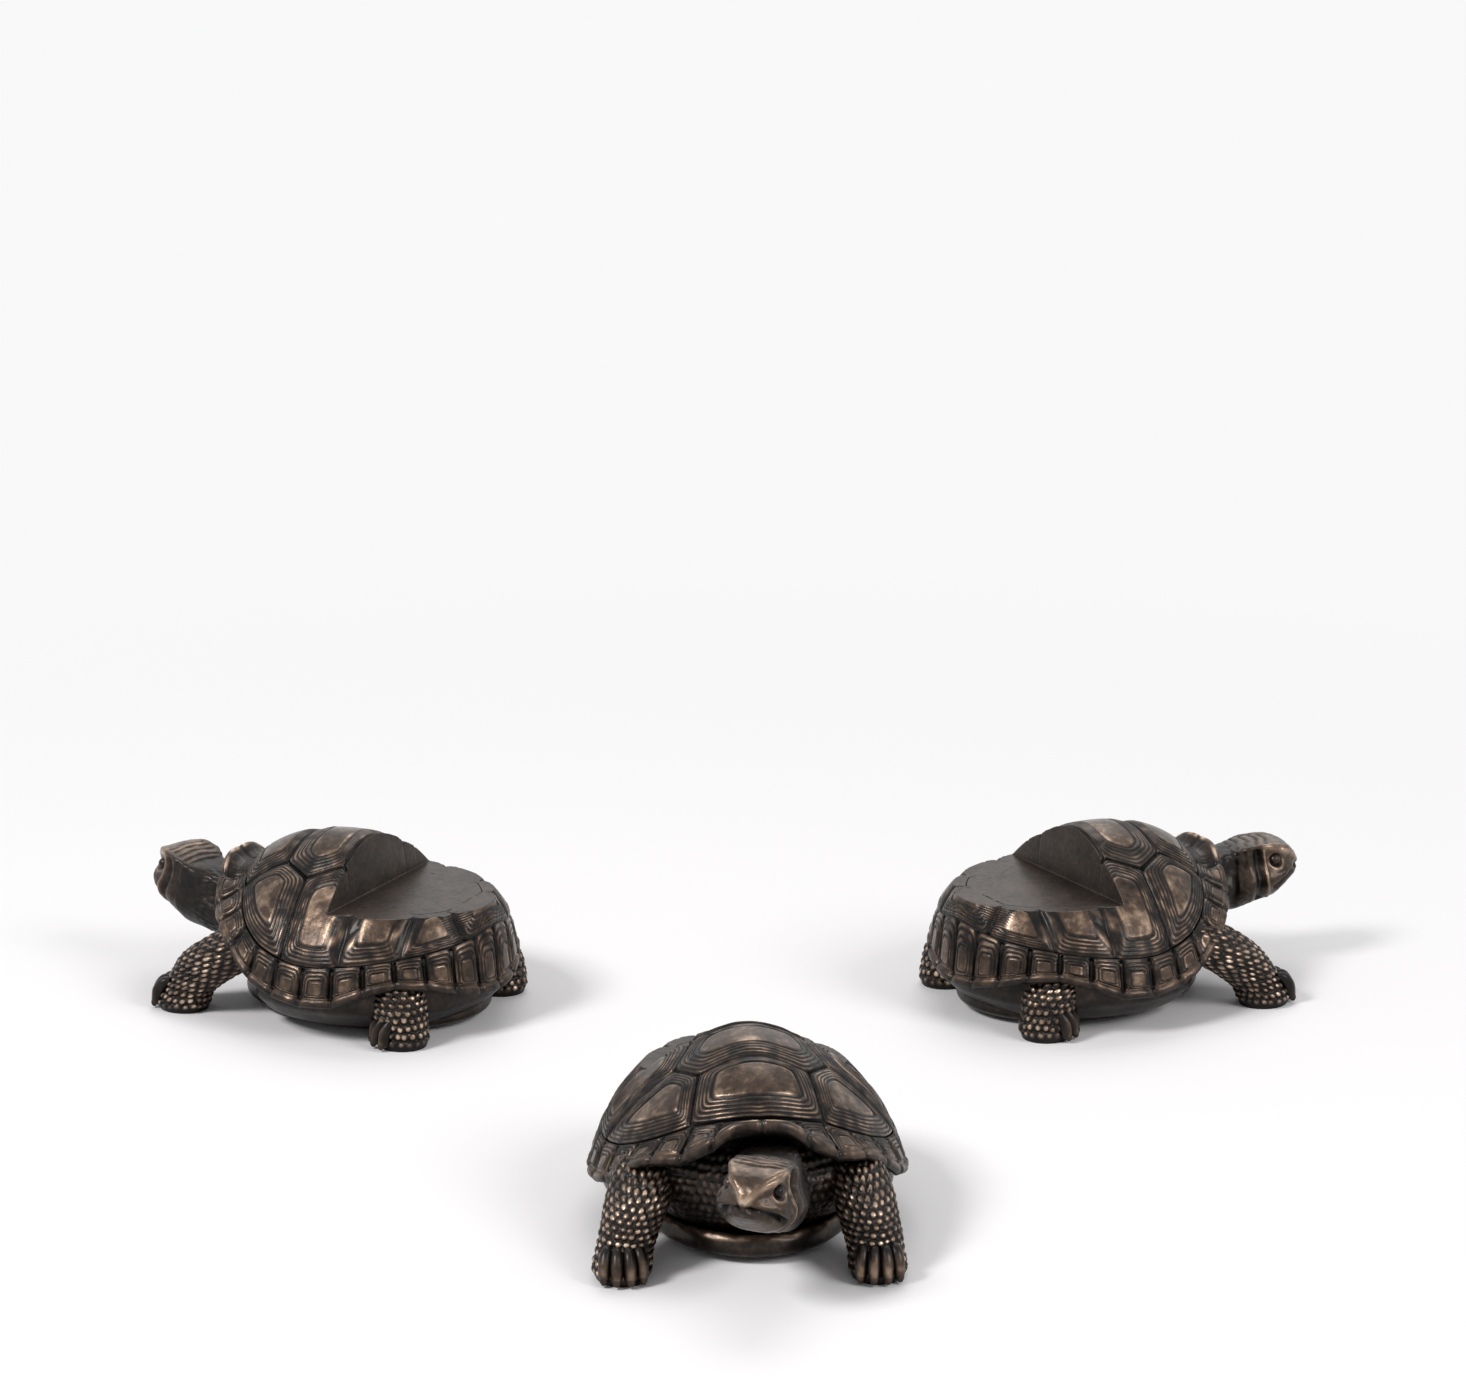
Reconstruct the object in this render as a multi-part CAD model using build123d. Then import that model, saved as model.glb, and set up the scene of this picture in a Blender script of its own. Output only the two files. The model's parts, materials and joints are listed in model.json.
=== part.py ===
from build123d import *
import os
from math import cos, degrees, pi, radians, sin, tan

# Three tortoise pot feet. Each foot is one casting with a step cut into the back of its shell, and the round
# base of a pot rests on the three steps. Lengths are millimetres. A foot is modelled facing +X with its left
# side at +Y and its paws on the ground at Z = 0, and is then placed in the ring. The casting's forms are solids
# of flat facets: rings of corners, one after the other, with the facets between them.

# Places in the ring, seen from above: distance from the ring's axis, bearing and heading, in degrees
ring_distances = {"front": 83.8, "left": 90.1, "right": 89.2}
ring_bearing_angles = {"front": 2.0, "left": -116.3, "right": 120.7}
ring_heading_angles = {"front": 4.4, "left": -117.5, "right": 121.1}

# Shell
shell_half_length = 34.0
shell_half_width = 30.5
shell_shift = -1.0
waist_height = 7.5
crown_height = 38.0
length_power_share = 2.5
width_power_share = 2.2
section_power_share = 1.5

# Scutes: the seams between them, and the growth rings that climb to the smooth middle plate
seam_depth = 0.7
scute_root_share = 0.85
scute_edge_share = 0.94
growth_rise = 0.45
growth_lip_share = 0.03
growth_shares = (0.80, 0.63)
scute_top_share = 0.3
core_shares = (0.66, 0.28)

# Corners of the scutes on the left half, as shares of the shell's half length and half width, and each scute's
# corners in order with the focus that its growth rings shrink towards
corner_shares = {
    "nose": (0.80, 0.12), "neck": (0.69, 0.42), "brow": (0.40, 0.345), "arm": (0.44, 0.735),
    "side": (0.185, 0.48), "rib": (0.145, 0.915), "ridge": (-0.03, 0.36), "loin": (-0.22, 0.475),
    "hip": (-0.26, 0.895), "croup": (-0.41, 0.345), "thigh": (-0.60, 0.43), "stifle": (-0.61, 0.70),
    "rump": (-0.73, 0.26), "tail": (-0.88, 0.30),
}
middle_scute_shares = (
    (("nose", "neck", "brow"), (0.56, 0.0)),
    (("brow", "side", "ridge"), (0.14, 0.0)),
    (("ridge", "loin", "croup"), (-0.22, 0.0)),
    (("croup", "thigh", "rump"), (-0.58, 0.0)),
)
side_scute_shares = (
    (("brow", "neck", "arm", "rib", "side"), (0.42, 0.56)),
    (("ridge", "side", "rib", "hip", "loin"), (-0.04, 0.68)),
    (("croup", "loin", "hip", "stifle", "thigh"), (-0.42, 0.62)),
    (("rump", "thigh", "stifle", "tail"), (-0.72, 0.46)),
)

# Rim blocks: the two collar blocks over the neck are wider, the rest share each side evenly. The rim ends with
# the shell's length and stands out past its waist at the sides.
collar_angle = 17.0
collar_seams = 2
rim_blocks = 13
rim_side_reach = 0.7
rim_half_length = shell_half_length
rim_half_width = shell_half_width + rim_side_reach
rim_gap = 1.1
rim_relief = 0.8
rim_thickness = 2.2
rim_root = 4.5
rim_overlap_share = 0.03
rim_dip = 0.5
collar_dip = 1.8
rim_height_shares = (
    0.80, 0.685, 0.575, 0.535, 0.445, 0.33, 0.27, 0.245, 0.255, 0.33, 0.37, 0.35, 0.30, 0.26, 0.24,
)
rim_inner_shares = (
    0.81, 0.80, 0.80, 0.835, 0.87, 0.895, 0.905, 0.91, 0.912, 0.915, 0.92, 0.925, 0.93, 0.93, 0.93,
)

# The smooth bridge under the rim, narrowing down to the belly
bridge_foot_height = 3.0
bridge_foot_share = 0.86

# Openings of the shell for the head and the front legs
opening_sides = 7
head_opening_half_width = 17.0
head_opening_height = 27.2
head_opening_start = 19.0
leg_opening_half_width = 9.5
leg_opening_height = 15.5
leg_opening_depth = 10.0
leg_opening_angle = 44.0

# Step for the pot
step_height = 26.7
wall_shift = -4.0
wall_lean_angle = 6.0

# Belly plate
belly_sides = 18
belly_half_length = 28.5
belly_half_width = 21.0
belly_height = 0.8
belly_thickness = 4.6
belly_ring_shares = ((0.0, 0.93), (0.35, 1.0), (0.8, 1.0), (1.0, 0.96))

# Legs, from the sole up to the shoulder inside the shell: where the paw and the shoulder stand in plan, and at
# each station the shares of the height, of the way inwards, and of the section's half length and half width
leg_sides = 10
front_leg_height = 20.0
front_leg_half_length = 9.4
front_leg_half_width = 5.7
front_paws = {"left": (33.0, 21.8), "right": (30.5, -26.2)}
front_shoulders = {"left": (17.0, 18.5), "right": (14.5, -20.0)}
front_leg_shares = (
    (0.0, 0.0, 0.60, 0.88), (0.08, 0.0, 0.66, 0.96), (0.24, 0.10, 0.60, 0.90), (0.42, 0.30, 0.76, 0.95),
    (0.65, 0.62, 0.98, 1.0), (0.93, 1.0, 0.72, 0.85),
)
rear_leg_height = 14.0
rear_leg_half_length = 6.4
rear_leg_half_width = 6.0
rear_paws = {"left": (-22.0, 20.6), "right": (-22.8, -19.8)}
rear_shoulders = {"left": (-17.0, 17.0), "right": (-17.0, -17.0)}
rear_leg_shares = (
    (0.0, 0.0, 0.86, 0.86), (0.12, 0.0, 0.92, 0.92), (0.35, 0.0, 0.84, 0.84), (0.65, 0.25, 0.92, 0.92),
    (1.0, 1.0, 1.0, 1.0),
)

# Toes: each one comes down the front of its paw and ends in a claw
toe_count = 4
toe_sides = 5
toe_radius = 1.45
toe_path_shares = ((-1.5, 4.2, 0.85), (0.25, 1.9, 1.0), (1.3, 0.15, 0.3))
toe_turn_share = 0.4
front_toe_reach = 5.2
front_toe_arc_angle = 40.0
rear_toe_reach = 5.2
rear_toe_arc_angle = 42.0
rear_toe_angle = 40.0

# Neck and head: the head has its own place and stance at the end of the neck. Each head station gives the shares
# along, of the half width, of the half height at the jaw and at the crown, and across the brow and the crown.
jaw_shares = ((0.42, -1.0), (0.84, -0.66), (1.0, -0.2))
brow_height_shares = (0.36, 0.80)
brow_ledge_share = 0.07
neck_root = (14.0, 0.5, 15.5)
neck_bend = (31.0, 1.5, 18.2)
neck_half_width = 7.4
neck_half_height = 7.0
neck_brow_share = 0.74
neck_crown_share = 0.45
head_centre = (44.5, -0.8, 22.0)
head_turn_angle = -24.5
head_tilt_angle = -2.0
head_half_length = 11.6
head_half_width = 7.8
head_half_height = 6.6
head_shares = (
    (-0.44, 0.92, -1.42, 0.73, 0.74, 0.45), (-0.08, 1.0, -1.21, 1.05, 0.74, 0.55),
    (0.28, 1.0, -0.99, 1.09, 0.72, 0.58), (0.48, 0.93, -0.85, 1.0, 0.72, 0.60),
    (0.66, 0.74, -0.55, 0.85, 0.72, 0.58), (0.845, 0.45, -0.27, 0.62, 0.70, 0.45),
    (1.0, 0.14, -0.02, 0.26, 0.70, 0.40),
)
mouth_gap = 0.6
mouth_share = 0.04
mouth_slope_angle = 30.0
eye_sides = 7
eye_shares = (0.47, 0.62, 0.41)
eye_turn_angle = 56.0
eye_lift_angle = 8.0
eyelid_radius = 2.0
eye_ring_shares = ((-0.9, 1.0), (0.2, 0.92), (0.02, 0.66), (0.34, 0.46), (0.44, 0.2))

overrun = 20.0


def swell(share, power):
    """Height share of a rounded form at a share of its reach: 1 in the middle and 0 at the end."""
    return (1 - abs(share) ** power) ** (1 / power)


def cross_plane(x):
    """Upright plane across the foot: its first axis runs to the left side and its second one up."""
    return Plane((x, 0, 0), x_dir=(0, 1, 0), z_dir=(1, 0, 0))


def facets(low, high):
    """Flat triangles between two rings that have the same number of corners."""
    pieces = []
    for start in range(len(low)):
        end = (start + 1) % len(low)
        pieces.append(Face(Wire.make_polygon([low[start], low[end], high[end]])))
        pieces.append(Face(Wire.make_polygon([low[start], high[end], high[start]])))
    return pieces


def fan(ring):
    """Flat triangles that close a ring from its middle."""
    middle = sum(ring, Vector()) / len(ring)
    return [Face(Wire.make_polygon([middle, start, end])) for start, end in zip(ring, ring[1:] + ring[:1])]


def faceted(rings, closed=False):
    """Solid of flat facets through rings of corners: a run closed at its ends, or a loop back to its start."""
    faces = facets(rings[-1], rings[0]) if closed else fan(rings[0]) + fan(rings[-1])
    for low, high in zip(rings, rings[1:]):
        faces += facets(low, high)
    return Solid(Shell(faces))


def level_ring(x, y, z, half_length, half_width, sides):
    """Corners of a level oval, going round once."""
    turns = [2 * pi * count / sides for count in range(sides)]
    return [Vector(x + half_length * cos(turn), y + half_width * sin(turn), z) for turn in turns]


def shell_height(x, y):
    """Height of the shell's rounded form over a place in plan."""
    share = (x - shell_shift) / shell_half_length
    half_width = shell_half_width * swell(share, width_power_share)
    crown = (crown_height - waist_height) * swell(share, length_power_share)
    return waist_height + crown * swell(y / half_width, section_power_share)


def shell_point(shares, side=1):
    """The place on the rounded form at shares of the shell's half length and half width."""
    x = shell_shift + shell_half_length * shares[0]
    y = side * shell_half_width * shares[1]
    return Vector(x, y, shell_height(x, y))


def scutes():
    """Corners and focus of every scute: a middle scute also has a corner where each end crosses the ridge."""
    outlines = []
    for names, focus in middle_scute_shares:
        shares = [corner_shares[name] for name in names]
        mirrored = [(along, -across) for along, across in reversed(shares)]
        ridge = [[(shares[end][0], 0)] for end in (0, -1)]
        outlines.append(([shell_point(place) for place in ridge[0] + shares + ridge[1] + mirrored], shell_point(focus)))
    for names, focus in side_scute_shares:
        for side in (1, -1):
            outlines.append(([shell_point(corner_shares[name], side) for name in names], shell_point(focus, side)))
    return outlines


def outward(corners):
    """The direction that a scute faces, from its corners."""
    centre = sum(corners, Vector()) / len(corners)
    normal = Vector()
    for start, end in zip(corners, corners[1:] + corners[:1]):
        normal += (start - centre).cross(end - centre)
    return normal.normalized() * (1 if normal.Z > 0 else -1)


def scute_plate(corners, focus):
    """A plate that follows the shell's rounded form, with growth rings that climb in lips to the smooth middle."""
    levels = [(scute_edge_share, 0)]
    for step, share in enumerate(growth_shares):
        levels += [(share, step), (share - growth_lip_share, step + 1)]
    levels.append((scute_top_share, len(growth_shares)))
    rings = []
    for share, step in levels:
        shrunk = [focus + (corner - focus) * share for corner in corners]
        ring = [Vector(place.X, place.Y, shell_height(place.X, place.Y)) for place in shrunk]
        rings.append([place + outward(corners) * growth_rise * step for place in ring])
    heart = Vector(focus.X / 2, 0, waist_height)
    root = [heart + (place - heart) * scute_root_share for place in rings[0]]
    return faceted([root] + rings)


def rim_angles():
    """Angles of the rim's seams, from the notch over the neck round to the tail."""
    step = (180 - collar_angle) / rim_blocks
    return [0] + [collar_angle + step * count for count in range(rim_blocks + 1)]


def rim_point(angle, share):
    """A place in plan at a share of the way from the shell's middle to the rim's edge."""
    return Vector(
        shell_shift + rim_half_length * share * cos(radians(angle)), rim_half_width * share * sin(radians(angle)), 0
    )


def rim_section(angle, index, relief):
    """Upright section of the rim at an angle, with the heights of its seam, sunk by the relief."""
    root = rim_point(angle, rim_inner_shares[index])
    root.Z = shell_height(root.X, root.Y) + rim_relief - relief
    foot = rim_point(angle, rim_inner_shares[index] - rim_overlap_share)
    foot.Z = root.Z - rim_root
    edge = rim_point(angle, 1 - relief / rim_half_length)
    edge.Z = crown_height * rim_height_shares[index]
    lift = Vector(0, 0, (rim_thickness - relief) / 2)
    dip = Vector(0, 0, collar_dip if index < collar_seams else rim_dip)
    return [root, (root + edge + lift) / 2 - dip, edge + lift, edge - lift, foot]


def rim():
    """The band of marginal blocks round the shell, with a groove at each seam."""
    gap_angle = degrees(rim_gap / 2 / rim_half_length)
    half = []
    for index, angle in enumerate(rim_angles()):
        half += [(angle - gap_angle, index, 0), (angle, index, rim_relief), (angle + gap_angle, index, 0)]
    half = half[1:-1]
    mirrored = [(-angle, index, relief) for angle, index, relief in reversed(half[1:-1])]
    return faceted([rim_section(*stop) for stop in half + mirrored], closed=True)


def shell_core():
    """The body under the scutes and the rim: a smooth bridge, upright sides and the sunk rounded form."""
    stops = list(enumerate(rim_angles()))
    stops += [(index, -angle) for index, angle in reversed(stops[1:-1])]
    rings = []
    for height, share in ((bridge_foot_height, bridge_foot_share), (waist_height, 1)):
        ring = [rim_point(angle, rim_inner_shares[index] * share) for index, angle in stops]
        rings.append([Vector(place.X, place.Y, height) for place in ring])
    for share in (1,) + core_shares:
        ring = [rim_point(angle, rim_inner_shares[index] * share) for index, angle in stops]
        rings.append([Vector(place.X, place.Y, shell_height(place.X, place.Y) - seam_depth) for place in ring])
    return faceted(rings)


def arch(half_width, foot_height, top):
    """Upright outline of an opening: a half round arch of straight stretches, open to the ground."""
    turns = [pi * count / opening_sides for count in range(opening_sides + 1)]
    corners = [(half_width * cos(turn), foot_height + (top - foot_height) * sin(turn)) for turn in turns]
    return make_face(Polyline((half_width, -overrun), *corners, (-half_width, -overrun), close=True))


def shell_openings():
    """Spaces under the shell's rim for the head and the front legs."""
    head_arch = arch(head_opening_half_width, waist_height, head_opening_height)
    openings = [extrude(cross_plane(head_opening_start) * head_arch, shell_half_length)]
    for side in (1, -1):
        reach = rim_point(side * leg_opening_angle, 1) - rim_point(0, 0)
        inner = rim_point(0, 0) + reach.normalized() * (reach.length - leg_opening_depth)
        plane = Plane(inner, x_dir=reach.cross(Vector(0, 0, 1)), z_dir=reach)
        openings.append(extrude(plane * arch(leg_opening_half_width, 0, leg_opening_height), shell_half_length))
    return openings


def leg(paw, shoulder, height, half_length, half_width, shares):
    """One leg through level oval sections from the sole to the shoulder."""
    rings = []
    for up, along, length_share, width_share in shares:
        x = paw[0] + (shoulder[0] - paw[0]) * along
        y = paw[1] + (shoulder[1] - paw[1]) * along
        rings.append(level_ring(x, y, height * up, half_length * length_share, half_width * width_share, leg_sides))
    return faceted(rings)


def toe():
    """One toe at the origin, heading along X: a rounded lobe that comes down to the ground and ends in a claw."""
    path = [Vector(along * toe_radius, 0, up * toe_radius) for along, up, _ in toe_path_shares]
    rings = []
    for index, place in enumerate(path):
        heading = path[min(index + 1, len(path) - 1)] - path[max(index - 1, 0)]
        plane = Plane(place, x_dir=(0, 1, 0), z_dir=heading)
        flat = level_ring(0, 0, 0, toe_radius * toe_path_shares[index][2], toe_radius * toe_path_shares[index][2],
                          toe_sides)
        rings.append([plane.from_local_coords(corner) for corner in flat])
    return faceted(rings)


def toes(paw, angle, reach, arc_angle):
    """A row of toes round the front of a paw, each turned a little outwards."""
    row = []
    for index in range(toe_count):
        turn = arc_angle * (2 * index / (toe_count - 1) - 1)
        row.append(Pos(*paw) * Rot(0, 0, angle + turn) * Pos(reach) * Rot(0, 0, turn * (toe_turn_share - 1)) * toe())
    return row


def legs():
    """Four legs with their toes."""
    pieces = []
    for side, sign in (("left", 1), ("right", -1)):
        paw = front_paws[side]
        pieces.append(
            leg(paw, front_shoulders[side], front_leg_height, front_leg_half_length, front_leg_half_width,
                front_leg_shares)
        )
        pieces += toes(paw, 0, front_toe_reach, front_toe_arc_angle)
        paw = rear_paws[side]
        pieces.append(
            leg(paw, rear_shoulders[side], rear_leg_height, rear_leg_half_length, rear_leg_half_width,
                rear_leg_shares)
        )
        pieces += toes(paw, sign * rear_toe_angle, rear_toe_reach, rear_toe_arc_angle)
    return pieces


def head_ring(stance, along, half_width, low, high, brow_share, crown_share):
    """Corners of a neck or head section in a stance: round jaw and cheeks, a ledge under the brow and a flat crown."""
    middle = (low + high) / 2
    ledge, brow = brow_height_shares
    shares = jaw_shares + ((brow_share + brow_ledge_share, ledge), (brow_share, brow), (crown_share, 1.0))
    corners = [(half_width * across, middle + (high - middle) * up) for across, up in shares]
    corners += [(-across, up) for across, up in reversed(corners)]
    return [Plane(stance).from_local_coords(Vector(along, across, up)) for across, up in corners]


def head():
    """Neck and head in one run of sections, with the mouth's slit and the eyes."""
    stance = Pos(*head_centre) * Rot(0, 0, head_turn_angle) * Rot(head_tilt_angle, 0, 0)
    rings = []
    for place in (neck_root, neck_bend):
        rings.append(
            head_ring(Pos(*place), 0, neck_half_width, -neck_half_height, neck_half_height, neck_brow_share,
                      neck_crown_share)
        )
    for along, width, low, high, brow, crown in head_shares:
        rings.append(
            head_ring(stance, head_half_length * along, head_half_width * width, head_half_height * low,
                      head_half_height * high, brow, crown)
        )
    form = faceted(rings)
    form -= stance * Pos(head_half_length, 0, head_half_height * mouth_share) * Rot(0, -mouth_slope_angle, 0) * Box(
        head_half_length, head_half_width * 2, mouth_gap
    )
    for side in (1, -1):
        place = stance * Pos(
            head_half_length * eye_shares[0], side * head_half_width * eye_shares[1], head_half_height * eye_shares[2]
        ) * Rot(0, 0, side * eye_turn_angle) * Rot(0, 90 - eye_lift_angle, 0)
        form += place * faceted([
            level_ring(0, 0, eyelid_radius * up, eyelid_radius * share, eyelid_radius * share, eye_sides)
            for up, share in eye_ring_shares
        ])
    return form


def belly():
    """The belly plate, an oval slab with rounded edges."""
    return faceted([
        level_ring(shell_shift, 0, belly_height + belly_thickness * up, belly_half_length * share,
                   belly_half_width * share, belly_sides)
        for up, share in belly_ring_shares
    ])


def foot():
    """The whole casting."""
    shell = shell_core() + [scute_plate(corners, focus) for corners, focus in scutes()]
    shell -= shell_openings()
    shell += rim()
    profile = Polyline(
        (wall_shift, step_height),
        (wall_shift + (crown_height - step_height + overrun) * tan(radians(wall_lean_angle)), crown_height + overrun),
        (-shell_half_length - overrun, crown_height + overrun),
        (-shell_half_length - overrun, step_height),
        close=True,
    )
    shell -= extrude(Plane.XZ * make_face(profile), shell_half_width + overrun, both=True)
    casting = shell + [belly()] + legs() + [head()]
    reach = head_centre[0] + head_half_length + overrun
    ground = Pos(0, 0, -overrun / 2) * Box(2 * reach, 2 * reach, overrun)
    return casting - ground


def main():
    os.makedirs("parts", exist_ok=True)
    casting = foot()
    placed = {}
    for name, distance in ring_distances.items():
        bearing = radians(ring_bearing_angles[name])
        place = Pos(distance * sin(bearing), -distance * cos(bearing)) * Rot(0, 0, ring_heading_angles[name] - 90)
        placed[name] = place * casting
    spread = Compound(list(placed.values())).bounding_box().center()
    for name, piece in placed.items():
        export_step(Pos(-spread.X, -spread.Y) * piece, f"parts/{name}_tortoise_foot.step")
    print("ring axis at", round(-spread.X, 4), round(-spread.Y, 4), "foot volume", round(casting.volume))


main()
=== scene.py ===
import json

import bpy
import numpy as np
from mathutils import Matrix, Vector


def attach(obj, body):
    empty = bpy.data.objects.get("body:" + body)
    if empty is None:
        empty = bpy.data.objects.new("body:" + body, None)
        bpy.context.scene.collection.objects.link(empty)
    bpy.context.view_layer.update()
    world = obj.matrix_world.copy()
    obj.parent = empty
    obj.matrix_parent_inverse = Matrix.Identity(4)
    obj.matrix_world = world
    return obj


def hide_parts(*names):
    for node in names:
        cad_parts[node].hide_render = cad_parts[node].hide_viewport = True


# Three tortoise pot feet in aged bronze. Lengths are millimetres in a foot's own frame: it faces +X, its left
# side is at +Y and its paws stand on Z = 0. A finished mesh is placed where its foot stands, in metres.

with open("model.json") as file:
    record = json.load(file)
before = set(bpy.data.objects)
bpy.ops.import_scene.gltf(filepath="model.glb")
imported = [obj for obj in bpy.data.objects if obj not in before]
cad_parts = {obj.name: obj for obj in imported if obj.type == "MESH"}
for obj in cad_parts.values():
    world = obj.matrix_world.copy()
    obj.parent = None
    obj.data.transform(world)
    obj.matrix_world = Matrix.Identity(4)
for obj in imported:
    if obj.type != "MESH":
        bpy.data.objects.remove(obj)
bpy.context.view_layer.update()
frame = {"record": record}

millimetre = 0.001

# ---- Sizes that the castings and the finished pieces share

shell_half_length = 34.0
shell_half_width = 30.5
shell_shift = -1.0
waist_height = 7.5
crown_height = 38.0
length_power = 2.5
width_power = 2.2
section_power = 1.5

corner_shares = {
    "nose": (0.80, 0.12), "neck": (0.69, 0.42), "brow": (0.40, 0.345), "arm": (0.44, 0.735),
    "side": (0.185, 0.48), "rib": (0.145, 0.915), "ridge": (-0.03, 0.36), "loin": (-0.22, 0.475),
    "hip": (-0.26, 0.895), "croup": (-0.41, 0.345), "thigh": (-0.60, 0.43), "stifle": (-0.61, 0.70),
    "rump": (-0.73, 0.26), "tail": (-0.88, 0.30),
}
middle_scutes = (
    (("nose", "neck", "brow"), (0.55, 0.0)),
    (("brow", "side", "ridge"), (0.14, 0.0)),
    (("ridge", "loin", "croup"), (-0.22, 0.0)),
    (("croup", "thigh", "rump"), (-0.58, 0.0)),
    (("rump", "tail"), (-0.82, 0.0)),
)
side_scutes = (
    (("brow", "neck", "arm", "rib", "side"), (0.43, 0.53)),
    (("ridge", "side", "rib", "hip", "loin"), (-0.04, 0.62)),
    (("croup", "loin", "hip", "stifle", "thigh"), (-0.42, 0.62)),
    (("rump", "thigh", "stifle", "tail"), (-0.72, 0.46)),
)

collar_angle = 17.0
rim_blocks = 13
rim_half_length = 34.0
rim_half_width = 31.2
rim_thickness = 2.2
rim_root = 4.5
rim_dip = 0.5
collar_dip = 1.8
rim_height_shares = (
    0.80, 0.685, 0.575, 0.535, 0.445, 0.33, 0.27, 0.245, 0.255, 0.33, 0.37, 0.35, 0.30, 0.26, 0.24,
)
rim_inner_shares = (
    0.81, 0.80, 0.80, 0.835, 0.87, 0.895, 0.905, 0.91, 0.912, 0.915, 0.92, 0.925, 0.93, 0.93, 0.93,
)

step_height = 26.7
wall_shift = -4.0
wall_lean_angle = 6.0
step_mount_setback = 10.0

belly_half_length = 28.5
belly_half_width = 21.0
belly_height = 0.8
belly_thickness = 4.6

leg_corners = 12
front_leg_height = 20.0
front_leg_half_length = 9.4
front_leg_half_width = 5.7
front_paws = {"left": (33.0, 21.8), "right": (30.5, -26.2)}
front_shoulders = {"left": (17.0, 18.5), "right": (14.5, -20.0)}
front_leg_stations = (
    (0.0, 0.0, 0.58, 0.86), (0.08, 0.0, 0.64, 0.94), (0.24, 0.10, 0.60, 0.90), (0.42, 0.30, 0.76, 0.95),
    (0.65, 0.62, 0.98, 1.0), (0.93, 1.0, 0.72, 0.85),
)
rear_leg_height = 14.0
rear_leg_half_length = 6.4
rear_leg_half_width = 6.0
rear_paws = {"left": (-22.0, 20.6), "right": (-22.8, -19.8)}
rear_shoulders = {"left": (-17.0, 17.0), "right": (-17.0, -17.0)}
rear_leg_stations = (
    (0.0, 0.0, 0.84, 0.84), (0.12, 0.0, 0.90, 0.90), (0.35, 0.0, 0.84, 0.84), (0.65, 0.25, 0.92, 0.92),
    (1.0, 1.0, 1.0, 1.0),
)
sole_mount_setback = 1.5

toe_count = 4
toe_turn_share = 0.4
front_toe_reach = 5.2
front_toe_arc_angle = 40.0
rear_toe_reach = 5.2
rear_toe_arc_angle = 42.0
rear_toe_angle = 40.0

neck_root = (14.0, 0.5, 15.5)
neck_bend = (31.0, 1.5, 18.2)
neck_half_width = 7.4
neck_half_height = 7.0
head_centre = (44.5, -0.8, 22.0)
head_turn_angle = -24.5
head_tilt_angle = -2.0
head_half_length = 11.6
head_half_width = 7.8
head_half_height = 6.6


# ---- Number fields

def fade(value, start, end):
    """Smooth step: 0 before start, 1 after end, with a cubic ease between."""
    share = np.clip((value - start) / (end - start), 0, 1)
    return share * share * (3 - 2 * share)


def bell(value, width):
    """Bell curve: 1 at zero, falling away over the width."""
    return np.exp(-(value / width) ** 2)


def scatter(cells, seed):
    """A repeatable number from 0 to 1 for every lattice cell: the far decimals of a sine of its numbers."""
    mixed = np.sin(cells @ np.array((127.1, 311.7, 74.7)) + seed * 19.19) * 43758.5453
    return mixed - np.floor(mixed)


def mottle(points, size, seed):
    """Cloudy noise from 0 to 1: scattered numbers on a cubic lattice, eased between the eight nearest."""
    cells = np.floor(points / size)
    share = points / size - cells
    share = share * share * (3 - 2 * share)
    total = np.zeros(points.shape[:-1])
    for corner in np.ndindex(2, 2, 2):
        weight = np.prod(np.where(corner, share, 1 - share), axis=-1)
        total += weight * scatter(cells + corner, seed)
    return total


def studs(row, column, row_gap, column_gap, seed, columns=0):
    """Round studs in staggered rows: 0 between them and 1 on a stud's top, a half sphere about each centre.

    Rows and columns are counted along and round the surface, with their gaps in millimetres, and each centre
    is shifted a little. Columns close round a limb after a whole number of studs."""
    row, column = np.broadcast_arrays(row, column)
    tallest = np.zeros(row.shape)
    base = np.round(row)
    for step in (-1, 0, 1):
        line = base + step
        stagger = 0.5 * (line % 2)
        for shift in (0, 1):
            place = np.floor(column - stagger) + shift
            name = place % columns if columns else place
            cell = np.stack([line, name, np.zeros_like(line)], -1)
            across = (column - place - stagger - 0.28 * (scatter(cell, seed) - 0.5)) * column_gap
            along = (row - line - 0.28 * (scatter(cell, seed + 1) - 0.5)) * row_gap
            radius = 0.5 * (row_gap + column_gap) * 0.5 * (1.0 + 0.25 * (scatter(cell, seed + 2) - 0.5))
            cap = np.sqrt(np.maximum(1 - (across ** 2 + along ** 2) / radius ** 2, 0))
            tallest = np.maximum(tallest, cap)
    return tallest


def near_route(points, route):
    """Distance from each point to a run of straight stretches."""
    nearest = np.full(points.shape[:-1], np.inf)
    route = np.asarray(route, float)
    for start, end in zip(route[:-1], route[1:]):
        stretch = end - start
        share = np.clip((points - start) @ stretch / (stretch @ stretch), 0, 1)
        nearest = np.minimum(nearest, np.linalg.norm(points - start - share[..., None] * stretch, axis=-1))
    return nearest


# ---- Grids and meshes

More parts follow.
